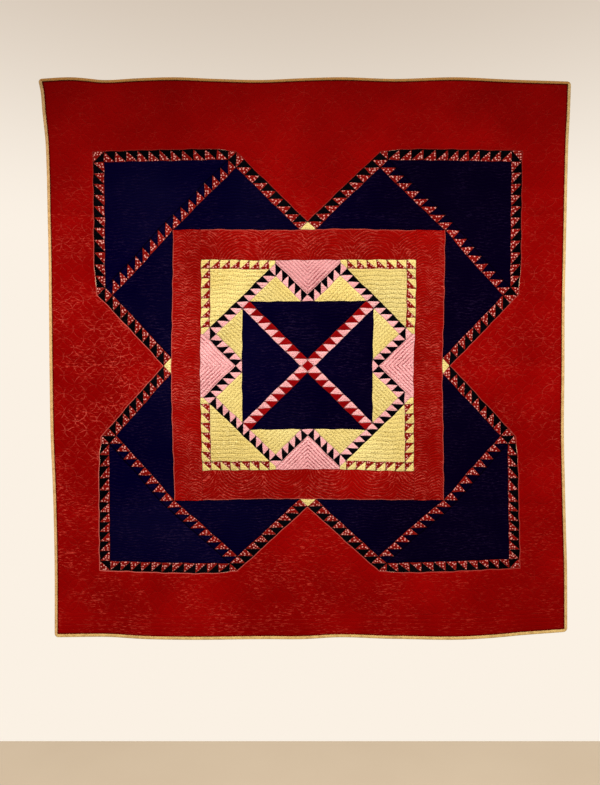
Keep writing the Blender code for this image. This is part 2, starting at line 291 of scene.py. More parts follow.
quilting = {
    "grooveDepth": 1.2 * mm,
    "grooveWidth": 2.4 * mm,
    "puff": 1.3 * mm,  # a patch's rise over its seams
    "puffReach": 5.0 * mm,
    "seamDrop": 0.7 * mm,
    "circlePitch": 50 * mm,
    "circleStart": (0.2, 0.2),  # where the lattice of circles begins, in pitches
    "hemRows": 13 * mm,
    "hemBand": 80 * mm,
    "fanSpacing": 10.5 * mm,
    "sideFan": 53 * mm,  # width of a fan in the frame's upright strips
    "longFan": 170 * mm,  # and in its level strips
    "pinkRows": 11.5 * mm,
    "yellowRows": 13 * mm,
    "cornerRows": 17 * mm,
    "navyRows": 12 * mm,
    "handWobble": 1.3 * mm,
    "lineWobble": 3.6 * mm,
    "wobbleFade": 60 * mm,  # from the edge inwards, until a seam wobbles fully
    "fullPuffSide": 60 * mm,  # a patch with a shorter longest side rises less
    "grooveFade": 6 * mm,  # from a seam inwards, until a stitched line is fully deep
    "flatEdge": 10 * mm,  # the patches don't rise this near the sheet's edge
    "edgeRise": 16 * mm,
    "hemRowSoftening": 1.5 * mm,  # added to the distance, so that the hem's rows stay shallow
    "borderEasing": 0.4,  # share of a groove's depth that the wide border loses
}


def handCut(p, q):
    # two crossing sines move every seam a little, as hand piecing does
    fade = quilting["handWobble"] * ease(edgeDistance(p, q) / quilting["wobbleFade"])
    dp = np.sin(61 * q + 17 * p + 1.0) + 0.7 * np.sin(97 * q - 43 * p + 2.2)
    dq = np.sin(58 * p - 21 * q + 0.4) + 0.7 * np.sin(103 * p + 37 * q + 4.0)
    return p + 0.6 * fade * dp, q + 0.6 * fade * dq


def lineDistance(turns, spacing):
    # distance to the nearest whole turn, in metres
    return np.abs(turns - np.round(turns)) * spacing


def circleDistance(u, v):
    # overlapping circles on a square lattice turned by 45 degrees, each through the middles
    # of its four cells: | distance from a corner - pitch / root 2 |
    pitch = quilting["circlePitch"]
    start = quilting["circleStart"]
    x = np.abs(((u - v) / root2 / pitch + start[0]) % 1.0 - 0.5)
    y = np.abs(((u + v) / root2 / pitch + start[1]) % 1.0 - 0.5)
    first = np.abs(np.hypot(x + 0.5, y - 0.5) - 1 / root2)
    second = np.abs(np.hypot(x - 0.5, y + 0.5) - 1 / root2)
    return np.minimum(first, second) * pitch


def fanDistance(u, v, width):
    # rings round the foot of each fan's middle, a fan every width along the strip
    x = (u / width % 1.0 - 0.5) * width
    return lineDistance(np.hypot(x, v) / quilting["fanSpacing"], quilting["fanSpacing"])


def groove(distance):
    # a bell-shaped groove along the stitched line
    return -quilting["grooveDepth"] * np.exp(-(distance / quilting["grooveWidth"]) ** 2)


# Patches. Each is an outline in the even layout, cut into triangles that are filled with
# a fine triangular grid. Its seams are its outline, and the cloth dips into them.

patches = {}


def toward(side, a, b):
    # a point a out from the middle along one side's normal, b along that side
    return {"top": (b, a), "bottom": (b, -a), "right": (a, b), "left": (-a, b)}[side]


def addPatch(cloth, outline, rows="none", step=4 * mm, parts=None):
    # parts are the triangles of the outline that get the grid, a fan when none are given
    corners = np.array(outline, dtype=float)
    if parts is None:
        parts = [(0, k, k + 1) for k in range(1, len(corners) - 1)]
    patches.setdefault(cloth, []).append((corners, rows, step, parts))


def triangleWeights(count):
    # whole-number shares i, j, count - i - j of three corners, and the triangles between them
    i, j = np.meshgrid(np.arange(count + 1), np.arange(count + 1), indexing="ij")
    inside = i + j <= count
    index = np.cumsum(inside).reshape(inside.shape) - 1
    weights = np.stack([i, j, count - i - j], axis=-1)[inside] / count
    a, b = np.nonzero(i + j < count)
    upward = np.stack([index[a, b], index[a + 1, b], index[a, b + 1]], axis=-1)
    a, b = np.nonzero(i + j < count - 1)
    downward = np.stack([index[a + 1, b], index[a + 1, b + 1], index[a, b + 1]], axis=-1)
    return weights, np.concatenate([upward, downward])


def pathDistance(points, path):
    # shortest distance to any stretch of a path
    nearest = np.full(len(points), 10.0)
    for start, end in zip(path[:-1], path[1:]):
        along = end - start
        share = np.clip((points - start) @ along / (along @ along), 0, 1)
        foot = start + share[:, None] * along
        nearest = np.minimum(nearest, np.hypot(*(points - foot).T))
    return nearest


def rowTurns(points, rows):
    # how many line spacings across, and how far along, for each style of straight rows
    p, q = points.T
    wave = 0.25 * np.sin(70 * p + 3 * np.sin(9 * q))
    styles = {
        "none": (np.full_like(p, 0.5), p),
        "navy": (q / quilting["navyRows"] + wave, p),
        "corner": (q / quilting["cornerRows"] + 0.3 * wave, p),
        "rising": ((q - p) / root2 / quilting["yellowRows"] + 0.2 * wave, (p + q) / root2),
        "falling": ((q + p) / root2 / quilting["yellowRows"] + 0.2 * wave, (p - q) / root2),
        "pinkTop": ((q - np.abs(p)) / root2 / quilting["pinkRows"], np.abs(p)),
        "pinkBottom": ((-q - np.abs(p)) / root2 / quilting["pinkRows"], np.abs(p)),
        "pinkRight": ((p - np.abs(q)) / root2 / quilting["pinkRows"], np.abs(q)),
        "pinkLeft": ((-p - np.abs(q)) / root2 / quilting["pinkRows"], np.abs(q)),
    }
    return styles[rows]


rowSpacing = {
    "none": 100 * mm,
    "navy": quilting["navyRows"],
    "corner": quilting["cornerRows"],
    "rising": quilting["yellowRows"],
    "falling": quilting["yellowRows"],
    "pinkTop": quilting["pinkRows"],
    "pinkBottom": quilting["pinkRows"],
    "pinkRight": quilting["pinkRows"],
    "pinkLeft": quilting["pinkRows"],
}


def frontHeight(p, q, seamGap, distance, puff=1.0):
    # half the loft, less the seam's drop, plus a puff that fills out away from the seam
    full = 1 - np.exp(-seamGap / quilting["puffReach"])
    rise = quilting["puff"] * puff * full + groove(distance) * ease(seamGap / quilting["grooveFade"])
    edge = ease((edgeDistance(p, q) - quilting["flatEdge"]) / quilting["edgeRise"])
    return thickness(p, q) / 2 - quilting["seamDrop"] + rise * edge


def sewPatches(cloth, seed):
    # all patches of one cloth as one mesh, with its print and quilting maps
    random = np.random.default_rng(seed)
    points, faces, prints, turns, gaps, shades = [], [], [], [], [], []
    total = 0
    for corners, rows, step, parts in patches[cloth]:
        angle = random.choice((0.0, 45.0, 90.0)) + random.normal(0, 1.5)
        shift = random.uniform(-0.5, 0.5, 2)
        shade = random.normal(0, 1)
        sides = np.hypot(*(corners - np.roll(corners, -1, axis=0)).T)
        puff = min(1.0, sides.max() / quilting["fullPuffSide"])
        triangles = corners[np.array(parts)]
        longest = np.hypot(*(triangles - np.roll(triangles, -1, axis=1)).reshape(-1, 2).T).max()
        count = max(8, int(longest / root2 / step))
        weights, grid = triangleWeights(count)
        # each part turned to face the viewer, then the parts welded along their shared sides
        (ax, az), (bx, bz) = (triangles[:, 1] - triangles[:, 0]).T, (triangles[:, 2] - triangles[:, 0]).T
        clockwise = ax * bz - az * bx < 0
        triangles[clockwise] = triangles[clockwise][:, [0, 2, 1]]
        places = (weights @ triangles).reshape(-1, 2)
        grid = np.concatenate([grid + k * len(weights) for k in range(len(triangles))])
        places, welded = np.unique(np.round(places, 7), axis=0, return_inverse=True)
        grid = welded.ravel()[grid]
        gap = pathDistance(places, np.concatenate([corners, corners[:1]]))
        across, along = rowTurns(places, rows)
        distance = lineDistance(across, rowSpacing[rows])
        p, q = handCut(*places.T)
        points.append(surfaceAt(p, q, frontHeight(p, q, gap, distance, puff)))
        faces.append(grid + total)
        total += len(places)
        turn = math.radians(angle)
        spin = np.array([[math.cos(turn), -math.sin(turn)], [math.sin(turn), math.cos(turn)]])
        prints.append(places @ spin + shift)
        turns.append(np.stack([across, along], axis=-1))
        gaps.append(gap)
        shades.append(np.full(len(places), shade))
    return addMesh(
        cloth, np.concatenate(points), np.concatenate(faces),
        {"cloth": np.concatenate(prints), "rows": np.concatenate(turns)},
        {"seamGap": np.concatenate(gaps), "hairline": np.concatenate(gaps),
         "shade": np.concatenate(shades)},
    )


def layTooth(place, total, other, rule):
    # a little square standing on its point, between two values of a + b and two of a - b,
    # cut level into a top and a bottom half or upright into a left and a right half
    cut, firstCloth, secondCloth = rule
    ends = [place((t + o) / 2, (t - o) / 2) for t in total for o in other]
    left, right = min(ends), max(ends)
    bottom, top = min(ends, key=lambda end: end[1]), max(ends, key=lambda end: end[1])
    if cut == "level":
        addPatch(firstCloth, (left, top, right))
        addPatch(secondCloth, (left, right, bottom))
    else:
        addPatch(firstCloth, (left, top, bottom))
        addPatch(secondCloth, (right, bottom, top))


def layCross():
    # four arms of little squares on their points, red always next to top and bottom
    for sx in (-1, 1):
        for sy in (-1, 1):
            rule = ("level", "crossRed", "crossPink") if sy > 0 else ("level", "crossPink", "crossRed")
            for k in range(piecing["crossCount"]):
                total = ((2 * k + 1) * crossHalf, (2 * k + 3) * crossHalf)
                layTooth(lambda a, b: (sx * a, sy * b), total, (-crossHalf, crossHalf), rule)
    heart = crossHalf * piecing["heartShare"]
    middle = [(0, heart), (heart, 0), (0, -heart), (-heart, 0)]
    around = [(0, crossHalf), (crossHalf, 0), (0, -crossHalf), (-crossHalf, 0)]
    addPatch("crossRed", middle)
    for k in range(4):
        after = (k + 1) % 4
        addPatch("crossPink", (around[k], around[after], middle[after], middle[k]))
    reach = centreHalf - crossHalf
    for side in ("top", "bottom", "left", "right"):
        outline = [toward(side, crossHalf, 0), toward(side, centreHalf, reach),
                   toward(side, centreHalf, -reach)]
        addPatch("navyCentre", outline, "navy")


def innerTooth(kind, side, sx, sy):
    # black points towards the middle of the quilt in most strips, as the maker turned them
    black, pink = "blackTeeth", "pinkTeeth"
    if kind == "corner":
        if sx < 0 and sy < 0:
            return "upright", black, pink
        return ("level", black, pink) if sy > 0 else ("level", pink, black)
    if kind == "apex" and sx < 0 and sy < 0:
        return "level", black, pink
    if kind == "apex" or side in ("top", "bottom"):
        return ("upright", black, pink) if sx > 0 else ("upright", pink, black)
    return ("level", pink, black) if sy > 0 else ("level", black, pink)


def outerTooth(kind, side, sx, sy):
    # black on the border's side, the dotted red on the navy's side
    dark = "navyTeeth" if kind == "corner" else "blackTeeth"
    if kind == "peak":
        outward = {"top": ("level", dark, "dotTeeth"), "bottom": ("level", "dotTeeth", dark),
                   "left": ("upright", dark, "dotTeeth"), "right": ("upright", "dotTeeth", dark)}
        return outward[side]
    if sy > 0:
        return "upright" if sx < 0 else "level", dark, "dotTeeth"
    return "level", "dotTeeth", dark


def innerBox(box):
    # red right angle nearest the middle, yellow outside
    addPatch("dotTeeth", (box[0], box[1], box[3]))
    addPatch("yellowTeeth", (box[2], box[3], box[1]))


def outerBox(box):
    # black half at the outer near corner, dotted half at the inner far corner
    addPatch("blackTeeth", (box[0], box[1], box[2]))
    addPatch("dotTeeth", (box[0], box[2], box[3]))


def outerCornerBox(box):
    # black half towards the middle, dotted half outside
    addPatch("blackTeeth", (box[0], box[1], box[3]))
    addPatch("dotTeeth", (box[2], box[3], box[1]))


innerRing = {
    "base": centreHalf,
    "square": piecing["smallSquare"],
    "peak": piecing["innerCount"],
    "row": piecing["innerRow"],
    "corner": piecing["innerCorner"],
    "tooth": innerTooth,
    "box": innerBox,
    "cornerBox": innerBox,
    "field": "yellowFields",
    "fill": "yellowCorners",
    "filler": "yellowTeeth",
    "tip": "pinkTeeth",
    "fieldRows": {1: "rising", -1: "falling"},
    "fillRows": "corner",
    "step": 3.2 * mm,
    "taper": 0.0,
    "taperReach": 34 * mm,
}

outerRing = {
    "base": frameHalf,
    "square": piecing["largeSquare"],
    "peak": piecing["outerCount"],
    "row": piecing["outerRow"],
    "corner": piecing["outerCorner"],
    "tooth": outerTooth,
    "box": outerBox,
    "cornerBox": outerCornerBox,
    "field": "navyFields",
    "fill": "navyCorners",
    "filler": "dotTeeth",
    "tip": "yellowTeeth",
    "fieldRows": {1: "navy", -1: "navy"},
    "fillRows": "navy",
    "step": 4.2 * mm,
    "taper": 9 * mm,
    "taperReach": 34 * mm,
}


def ringLines(ring):
    # the strips lie between two values of a - b (valley) and two of a + b (crest)
    step = ring["square"] * root2
    valley = ring["base"] - step / 2
    crest = ring["base"] + step / 2 + ring["peak"] * step
    rowLine = (crest + step + valley) / 2
    return step, valley, crest, rowLine, rowLine - valley, rowLine + ring["square"]


def ringEdge(ring, along):
    # the outer edge of the corner rows, drawn in where they begin
    outer = ringLines(ring)[-1]
    start = ringLines(ring)[-2]
    return outer - ring["taper"] * np.exp(-np.maximum(along - start, 0) / ring["taperReach"])


def layRing(ring):
    # a ring of toothed strips: on each side two half peaks that rise from valley to crest with a
    # field inside, the row of boxes outside them, and at each corner a filled triangle and a box
    step, valley, crest, rowLine, rowStart, outer = ringLines(ring)
    base = ring["base"]
    for side in ("top", "bottom", "left", "right"):
        for hand in (-1, 1):
            def place(a, b):
                # a out from the middle, b along the side to this hand
                return toward(side, a, hand * b)
            sx, sy = (math.copysign(1, value) for value in place(2.0, 1.0))
            outline = [place(base, base - valley), place(base, crest - base),
                       place((crest + valley) / 2, (crest - valley) / 2)]
            addPatch(ring["field"], outline, ring["fieldRows"][int(sx * sy)], ring["step"])
            for k in range(ring["peak"] + 1):
                total = (crest + (k - ring["peak"]) * step, crest + (k + 1 - ring["peak"]) * step)
                kind = "apex" if k == ring["peak"] else "peak"
                layTooth(place, total, (valley, valley + step), ring["tooth"](kind, side, sx, sy))
            drawn = float(ringEdge(ring, rowStart))
            apex = ((crest + valley) / 2 + step, (crest - valley) / 2)
            end = (drawn, drawn - valley - step) if ring["taper"] else (outer, apex[1])
            addPatch(ring["filler"], (place(rowLine, rowStart), place(drawn, rowStart),
                                      place(*end), place(*apex)))
            pitch = (rowLine - rowStart) / ring["row"]
            for k in range(ring["row"]):
                near, far = rowStart + k * pitch, rowStart + (k + 1) * pitch
                ring["box"]((place(rowLine, near), place(float(ringEdge(ring, near)), near),
                             place(float(ringEdge(ring, far)), far), place(rowLine, far)))
        addPatch(ring["tip"], (toward(side, base, base - valley), toward(side, base, valley - base),
                               toward(side, valley + step, 0)))
    for sx in (-1, 1):
        for sy in (-1, 1):
            def place(a, b):
                # a and b mirrored into this corner
                return sx * a, sy * b
            along = 2 * valley / ring["corner"]
            for k in range(ring["corner"]):
                other = (k * along - valley, (k + 1) * along - valley)
                layTooth(place, (crest, crest + step), other, ring["tooth"]("corner", None, sx, sy))
            addPatch(ring["fill"], (place(rowLine, rowLine), place(rowLine, rowStart),
                                    place(rowStart, rowLine)), ring["fillRows"], ring["step"])
            ring["cornerBox"]((place(rowLine, rowLine), place(outer, rowLine),
                               place(outer, outer), place(rowLine, outer)))


def layPink():
    # the four wide points between the peaks, out to the frame
    step, valley, crest, rowLine, rowStart, outer = ringLines(innerRing)
    apex = ((crest + valley) / 2 + step, (crest - valley) / 2)
    for side in ("top", "bottom", "left", "right"):
        outline = [toward(side, valley + step, 0), toward(side, apex[0], apex[1]),
                   toward(side, outer, apex[1]), toward(side, outer, 0),
                   toward(side, outer, -apex[1]), toward(side, apex[0], -apex[1])]
        parts = [(0, 3, 1), (1, 3, 2), (0, 5, 3), (5, 4, 3)]
        addPatch("pinkPoints", outline, "pink" + side.capitalize(), 3 * mm, parts)


layCross()
layRing(innerRing)
layRing(outerRing)
layPink()
sewn = {cloth: sewPatches(cloth, seed) for seed, cloth in enumerate(sorted(patches))}
print("patches sewn:", ", ".join(f"{name} {len(piece.data.polygons)}" for name, piece in sewn.items()))


# The plain red cloth: the frame round the medallion and the wide border.

border = {
    "tuckedIn": 5 * mm,  # the cloth ends this far inside the sheet's edge, under the binding
    "step": 4.2 * mm,
    "rows": 54,
    "frameStep": 2.9 * mm,
    "fanFoot": 22 * mm,  # the long fans' feet lie this far inside the frame's inner seam
    "stackRise": 30 * mm,
}


def gridFaces(rows, columns):
    # squares of a grid whose points run row by row
    first = (np.arange(rows - 1)[:, None] * columns + np.arange(columns - 1)).ravel()
    return np.stack([first, first + 1, first + columns + 1, first + columns], axis=-1)


def facingFront(points, faces):
    # turn all faces round if most of them look away from the viewer
    a, b, c = (points[faces[:, k]] for k in range(3))
    normals = np.cross(b - a, c - a)
    return faces[:, ::-1] if normals[:, 1].sum() > 0 else faces


def redBorder(side):
    # a grid from the ring's outer edge to the bound edge, and the wide point between two lobes
    step, valley, crest, rowLine, rowStart, outer = ringLines(outerRing)
    drawn = float(ringEdge(outerRing, rowStart))
    shoulder = drawn - valley - step
    count = int(2 * shoulder / border["step"])
    arm = int((outer - shoulder) / border["step"])
    right = np.linspace(shoulder, outer, arm + 1)
    b = np.concatenate([-right[:0:-1], np.linspace(-shoulder, shoulder, count + 1), right[1:]])
    fromMiddle = np.where(np.abs(b) > shoulder, ringEdge(outerRing, np.abs(b)), drawn)
    inner = np.array(toward(side, fromMiddle, b))
    reach = sheetSize["halfWidth"] - border["tuckedIn"]
    top, bottom = sheetSize["top"] - border["tuckedIn"], sheetSize["bottom"] + border["tuckedIn"]
    ends = {"top": ((-reach, top), (reach, top)), "bottom": ((-reach, bottom), (reach, bottom)),
            "left": ((-reach, bottom), (-reach, top)), "right": ((reach, bottom), (reach, top))}[side]
    share = (b + outer) / (2 * outer)
    far = np.outer(ends[0], 1 - share) + np.outer(ends[1], share)
    t = np.linspace(0, 1, border["rows"])[:, None, None]
    places = (inner.T * (1 - t) + far.T * t).reshape(-1, 2)
    faces = gridFaces(border["rows"], len(b))
    faces = np.concatenate([faces[:, [0, 1, 2]], faces[:, [0, 2, 3]]])

    tip = toward(side, valley + step, 0)
    weights, wedge = triangleWeights(count)
    corners = np.array([tip, toward(side, drawn, -shoulder), toward(side, drawn, shoulder)])
    index = np.arange(len(weights)) + len(places)
    base = weights[:, 0] == 0
    index[base] = arm + np.round(weights[base, 2] * count).astype(int)
    keep = ~base
    index[keep] = len(places) + np.arange(keep.sum())
    wedge = index[wedge]
    places = np.concatenate([places, (weights @ corners)[keep]])

    curve = np.linspace(rowStart, outer, 12)
    seam = [toward(side, float(ringEdge(outerRing, c)), -c) for c in curve[::-1]]
    seam += [toward(side, drawn, -shoulder), tip, toward(side, drawn, shoulder)]
    seam += [toward(side, float(ringEdge(outerRing, c)), c) for c in curve]
    gap = pathDistance(places, np.array(seam))
    p, q = handCut(*places.T)
    fromHem = places[:, 1] - sheetSize["bottom"]
    hemRow = lineDistance(fromHem / quilting["hemRows"], quilting["hemRows"])
    distance = np.where(fromHem < quilting["hemBand"], hemRow + quilting["hemRowSoftening"],
                        circleDistance(*places.T))
    eased = frontHeight(p, q, gap, distance) - quilting["borderEasing"] * groove(distance)
    points = surfaceAt(p, q, eased)
    faces = facingFront(points, faces)
    wedge = facingFront(points, wedge)
    return addMesh(
        "redBorder" + side.capitalize(), points, np.concatenate([faces, wedge]),
        {"cloth": places},
        {"seamGap": gap, "hairline": gap, "shade": np.zeros(len(places)),
         "fromEdge": edgeDistance(*places.T), "fromHem": fromHem},
    )


def redFrame(name, sides):
    # strips round the medallion: upright ones at full height, level ones between them
    points, faces, prints, seams, hairlines, fans = [], [], [], [], [], []
    total = 0
    for side in sides:
        upright = side in ("left", "right")
        length = frameHalf if upright else medallionHalf
        across = int((frameHalf - medallionHalf) / border["frameStep"])
        along = int(2 * length / border["frameStep"])
        a = np.linspace(medallionHalf, frameHalf, across + 1)
        b = np.linspace(-length, length, along + 1)
        a, b = (grid.ravel() for grid in np.meshgrid(a, b, indexing="ij"))
        places = np.array(toward(side, a, b)).T
        gap = np.minimum(a - medallionHalf, frameHalf - a)
        wobble = quilting["lineWobble"] * np.sin(63 * b + 3 * np.sin(71 * a + 29 * b) + len(points))
        if upright:
            fan = np.stack([a - medallionHalf + wobble, b + 0.7 * wobble], axis=-1)
            distance = stackDistance(*fan.T)
        else:
            fan = np.stack([b + wobble, a - medallionHalf + border["fanFoot"] + 0.7 * wobble], axis=-1)
            distance = fanDistance(*fan.T, quilting["longFan"])
        p, q = handCut(*places.T)
        points.append(surfaceAt(p, q, frontHeight(p, q, gap, distance)))
        grid = gridFaces(across + 1, along + 1)
        grid = np.concatenate([grid[:, [0, 1, 2]], grid[:, [0, 2, 3]]])
        faces.append(facingFront(points[-1], grid) + total)
        prints.append(places)
        fans.append(fan)
        seams.append(gap)
        hairlines.append(frameHalf - a)
        total += len(places)
    return addMesh(name, np.concatenate(points), np.concatenate(faces),
                   {"cloth": np.concatenate(prints), "rows": np.concatenate(fans)},
                   {"seamGap": np.concatenate(seams), "hairline": np.concatenate(hairlines),
                    "shade": np.zeros(total)})


def stackDistance(u, v):
    # equal round arches one above the other, two stacks side by side in the strip
    width = quilting["sideFan"]
    x = (u / width % 1.0 - 0.5) * width
    arch = np.sqrt(border["stackRise"] ** 2 - x * x)
    return lineDistance((v - arch) / quilting["fanSpacing"], quilting["fanSpacing"])


frameSides = redFrame("redFrameSides", ("left", "right"))
frameLevels = redFrame("redFrameLevels", ("top", "bottom"))
borders = {side: redBorder(side) for side in ("top", "right", "bottom", "left")}
print("red cloth laid")


# The sheet behind the patches: filling and back in one closed body.

backing = {
    "step": 10.5 * mm,
    "under": 1.3 * mm,  # the patches lie this far over it
    "edgeLine": 4.5 * mm,
    "flatEdge": 14 * mm,  # no stitched line on the back this near the edge
    "edgeRise": 20 * mm,
}


def cornerRounding(p, q):
    # squares round each corner's centre become quarter circles
    radius = sheetSize["cornerRadius"]
    end = np.where(q > 0, sheetSize["top"], sheetSize["bottom"])
    aSide = np.abs(p) - (sheetSize["halfWidth"] - radius)
    bSide = np.abs(q) - (np.abs(end) - radius)
    inCorner = (aSide > 0) & (bSide > 0)
    reach = np.maximum(aSide, bSide)
    steps = np.where(inCorner, reach, 1.0)
    angle = np.where(aSide > bSide, bSide / steps, 2.0 - aSide / steps) * math.pi / 4
    roundP = np.sign(p) * (sheetSize["halfWidth"] - radius + reach * np.cos(angle))
    roundQ = np.sign(q) * (np.abs(end) - radius + reach * np.sin(angle))
    return np.where(inCorner, roundP, p), np.where(inCorner, roundQ, q)


def sheetLines(start, end):
    # even lines across the body, then the two lines of the bound edge
    radius = sheetSize["cornerRadius"]
    body = np.linspace(start + radius, end - radius, int((end - start) / backing["step"]))
    edges = (start, start + backing["edgeLine"]), (end - backing["edgeLine"], end)
    return np.concatenate([edges[0], body, edges[1]])


def backingSheet():
    # front and back grids over the same lines, joined by a rim
    across = sheetLines(-sheetSize["halfWidth"], sheetSize["halfWidth"])
    up = sheetLines(sheetSize["bottom"], sheetSize["top"])
    p, q = (grid.ravel() for grid in np.meshgrid(across, up, indexing="ij"))
    p, q = cornerRounding(p, q)
    half = thickness(p, q) / 2
    body = ease((edgeDistance(p, q) - backing["flatEdge"]) / backing["edgeRise"])
    front = surfaceAt(p, q, half - backing["under"])
    back = surfaceAt(p, q, -half - groove(circleDistance(p, q)) * body)
    rows, columns = len(across), len(up)
    grid = gridFaces(rows, columns)
    frontFaces = facingFront(front, grid)
    backFaces = facingFront(back, grid)[:, ::-1] + len(p)
    walk = np.concatenate([
        np.arange(columns), np.arange(1, rows) * columns + columns - 1,
        (rows - 1) * columns + np.arange(columns - 2, -1, -1), np.arange(rows - 2, 0, -1) * columns,
    ])
    after = np.roll(walk, -1)
    rim = np.stack([walk, after, after + len(p), walk + len(p)], axis=-1)
    a, b, c = (np.concatenate([front, back])[rim[0, k]] for k in range(3))
    outward = np.array([-1.0, 0, 0]) @ np.cross(b - a, c - a) > 0
    rim = rim if outward else rim[:, ::-1]
    sheet = np.stack([p, q], axis=-1)
    piece = addMesh("backingSheet", np.concatenate([front, back]),
                    np.concatenate([frontFaces, backFaces, rim]),
                    {"cloth": np.concatenate([sheet, sheet])},
                    {"seamGap": np.full(2 * len(p), 0.1), "hairline": np.full(2 * len(p), 0.1),
                     "shade": np.zeros(2 * len(p))})
    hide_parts("quilted_sheet")
    return piece


sheet = backingSheet()
print("backing sheet made")


# The bound edge: four folded strips, each from the middle of one round corner to the next.

binding = {
    "thickness": 0.9 * mm,
    "reach": 9.0 * mm,
    "unevenness": 0.7 * mm,
    "gap": 0.3 * mm,
    "mitre": 0.3 * mm,
    "step": 5 * mm,
    "stitchPitch": 3.2 * mm,
    "sprigPitch": 4.5 * mm,
}


def bindingStations(side):
    # circle centres along the edge and the outward angle at each, clockwise
    radius = sheetSize["cornerRadius"]
    reach = sheetSize["halfWidth"] - radius
    top, bottom = sheetSize["top"] - radius, sheetSize["bottom"] + radius
    ends = {"top": ((-reach, top), (reach, top), 90), "right": ((reach, top), (reach, bottom), 0),
            "bottom": ((reach, bottom), (-reach, bottom), -90),
            "left": ((-reach, bottom), (-reach, top), 180)}
    start, end, angle = ends[side]
    count = int(math.dist(start, end) / binding["step"])
    share = np.linspace(0, 1, count + 1)[:, None]
    centres = np.array(start) * (1 - share) + np.array(end) * share
    turns = np.array([45, 34, 22, 11])
    centres = np.concatenate([np.repeat(centres[:1], 4, 0), centres, np.repeat(centres[-1:], 4, 0)])
    angles = np.concatenate([angle + turns, np.full(count + 1, angle), angle - turns[::-1]])
    return centres, np.radians(angles)


def foldedStrip(side):
    # a folded profile carried along the stations: inner face of both legs, then the outer face
    centres, angles = bindingStations(side)
    radius = sheetSize["cornerRadius"]
    inner = sheetSize["atEdge"] / 2 + binding["gap"]
    outer = inner + binding["thickness"]
    slot = radius + binding["gap"]
    legs = radius - binding["reach"]
    bulge = np.linspace(-90, 90, 9)
    edge = slot + binding["thickness"]
    foldOut = edge - outer + outer * np.cos(np.radians(bulge))
    foldHeight = outer * np.sin(np.radians(bulge))
    tip = binding["thickness"] / 2
    profile = [(legs, -inner), (slot - 1.2 * mm, -inner), (slot, -inner * 0.5), (slot, inner * 0.5),
               (slot - 1.2 * mm, inner), (legs, inner), (legs - tip * 0.6, inner + tip),
               (legs + tip * 0.4, outer), (legs + 2.5 * mm, outer + 0.15 * mm), (legs + 5 * mm, outer)]
    profile += [(out, height) for out, height in zip(foldOut[::-1], foldHeight[::-1])]
    profile += [(legs + 5 * mm, -outer), (legs + 2.5 * mm, -outer), (legs + tip * 0.4, -outer),
                (legs - tip * 0.6, -inner - tip)]
    profile = np.array(profile)
    run = np.concatenate([[0], np.cumsum(np.hypot(*np.diff(centres, axis=0).T))])
    run = run + radius * np.concatenate([[0], np.cumsum(np.abs(np.diff(angles)))])
    pucker = np.sin(2 * math.pi * run / (21 * mm)) + 0.6 * np.sin(2 * math.pi * run / (47 * mm) + 1)
    shift = binding["unevenness"] * 0.5 * pucker * ease(np.minimum(run, run[-1] - run) / (40 * mm))
    legPart = profile[:, 0] < legs + 1 * mm
    out = profile[None, :, 0] - np.where(legPart, 1.0, 0.0) * np.abs(shift)[:, None]
    height = np.repeat(profile[None, :, 1], len(run), 0)
    p = centres[:, :1] + np.cos(angles)[:, None] * out
    q = centres[:, 1:] + np.sin(angles)[:, None] * out
    points = surfaceAt(p.ravel(), q.ravel(), height.ravel()).reshape(*p.shape, 3)
    for first, second in ((0, 1), (-1, -2)):
        way = points[second] - points[first]
        points[first] += way / np.linalg.norm(way, axis=-1, keepdims=True) * binding["mitre"] / 2
    rows, columns = p.shape
    start = (np.arange(rows - 1)[:, None] * columns + np.arange(columns)).ravel()
    after = (np.arange(rows - 1)[:, None] * columns + (np.arange(columns) + 1) % columns).ravel()
    faces = np.stack([start, after, after + columns, start + columns], axis=-1)
    girth = np.concatenate([[0], np.cumsum(np.hypot(*np.diff(profile, axis=0).T))])
    strip = np.stack([np.repeat(run, columns), np.tile(girth, rows)], axis=-1)
    fromLeg = np.tile(profile[:, 0] - legs, rows)
    piece = addMesh("binding" + side.capitalize(), points.reshape(-1, 3), faces,
                    {"cloth": strip}, {"fromLeg": fromLeg, "front": np.tile(profile[:, 1], rows)})
    closeEnds(piece, columns, rows)
    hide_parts("binding_" + side)
    return piece


def closeEnds(piece, columns, rows):
    # one face over each end of the strip, then all faces turned outwards
    form = bmesh.new()
    form.from_mesh(piece.data)
    form.verts.ensure_lookup_table()
    form.faces.new([form.verts[k] for k in range(columns)])
    form.faces.new([form.verts[(rows - 1) * columns + k] for k in range(columns)])
    bmesh.ops.recalc_face_normals(form, faces=form.faces)
    form.to_mesh(piece.data)
    form.free()


bindings = {side: foldedStrip(side) for side in ("top", "right", "bottom", "left")}
print("edge bound")


# Cloth. Every one is plain-woven cotton, printed or dyed.

def toLinear(code):
    # an sRGB hex value as linear red, green, blue and full cover
    parts = [int(code[k:k + 2], 16) / 255 for k in (1, 3, 5)]
    return tuple(v / 12.92 if v <= 0.04045 else ((v + 0.055) / 1.055) ** 2.4 for v in parts) + (1.0,)


def add(tree, kind, inputs=None, out=0, **settings):
    # one node with its settings, each input a value or another node's output
    node = tree.nodes.new("ShaderNode" + kind)
    for name, value in settings.items():
        setattr(node, name, value)
    for key, value in (inputs or {}).items():
        if isinstance(value, bpy.types.NodeSocket):
            tree.links.new(value, node.inputs[key])
        else:
            node.inputs[key].default_value = value
    return node.outputs[out]


def maths(tree, operation, *values):
    # one operation on one or two numbers
    return add(tree, "Math", dict(enumerate(values)), operation=operation)


def coordinate(tree, vector, which):
    # the x, y or z of a vector, counted from 0
    return add(tree, "SeparateXYZ", {0: vector}, out=which)


def stored(tree, name):
    # a number kept on the mesh's points
    return add(tree, "Attribute", out="Fac", attribute_name=name)


